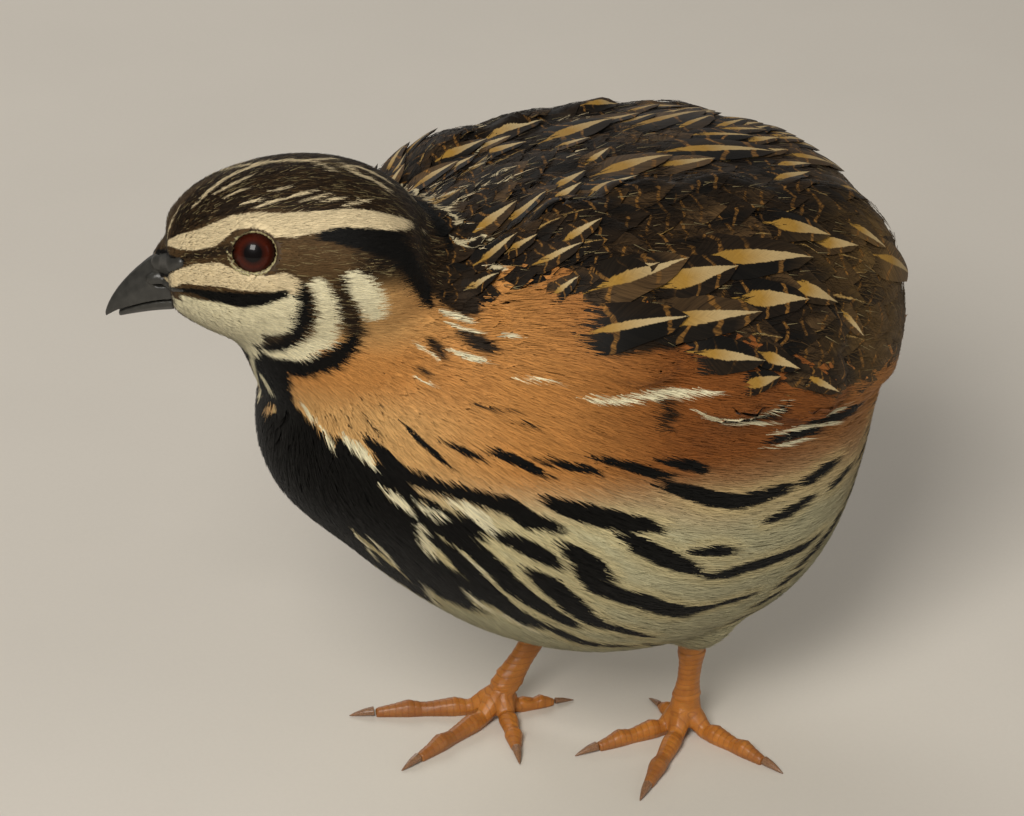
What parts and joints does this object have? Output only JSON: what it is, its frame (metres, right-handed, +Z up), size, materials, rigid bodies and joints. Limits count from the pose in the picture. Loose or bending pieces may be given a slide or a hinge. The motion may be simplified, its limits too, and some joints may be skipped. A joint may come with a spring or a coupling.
{
  "type": "quail",
  "caption": "Life-size standing quail with folded wings, short drooping tail and turned head, as a still museum model.",
  "frame": {"origin": "centre of the bounding box at floor level, on the flats under the toes", "axes": "+X along the body towards the tail, so the breast faces -X; +Y towards the bird's right side; +Z up"},
  "size_m": [0.1344, 0.0846, 0.1152],
  "materials": {
    "plumage_head": "short streaked head feathers, matt",
    "plumage_neck": "soft buff and black feathers, matt",
    "plumage_body": "soft buff and cream feathers with black dashes, matt",
    "plumage_wing": "brown vanes with ochre bars and cream shaft streaks",
    "plumage_tail": "brown vanes with ochre bars",
    "horn_bill": "slate black horn, half gloss",
    "eye": "wet, dark red-brown iris and black pupil",
    "leg_skin": "orange scaled skin",
    "claw_horn": "pale pinkish horn"
  },
  "bodies": {
    "root": {"head": "plumage_head", "neck": "plumage_neck", "torso": "plumage_body", "wing_left": "plumage_wing", "wing_right": "plumage_wing", "tail": "plumage_tail", "bill_upper": "horn_bill", "bill_lower": "horn_bill", "eye_left": "eye", "eye_right": "eye", "thigh_left": "plumage_body", "thigh_right": "plumage_body", "shank_left": "leg_skin", "shank_right": "leg_skin", "foot_left": "leg_skin", "foot_right": "leg_skin", "claw_left_inner": "claw_horn", "claw_left_middle": "claw_horn", "claw_left_outer": "claw_horn", "claw_left_hind": "claw_horn", "claw_right_inner": "claw_horn", "claw_right_middle": "claw_horn", "claw_right_outer": "claw_horn", "claw_right_hind": "claw_horn"}
  },
  "joints": []
}
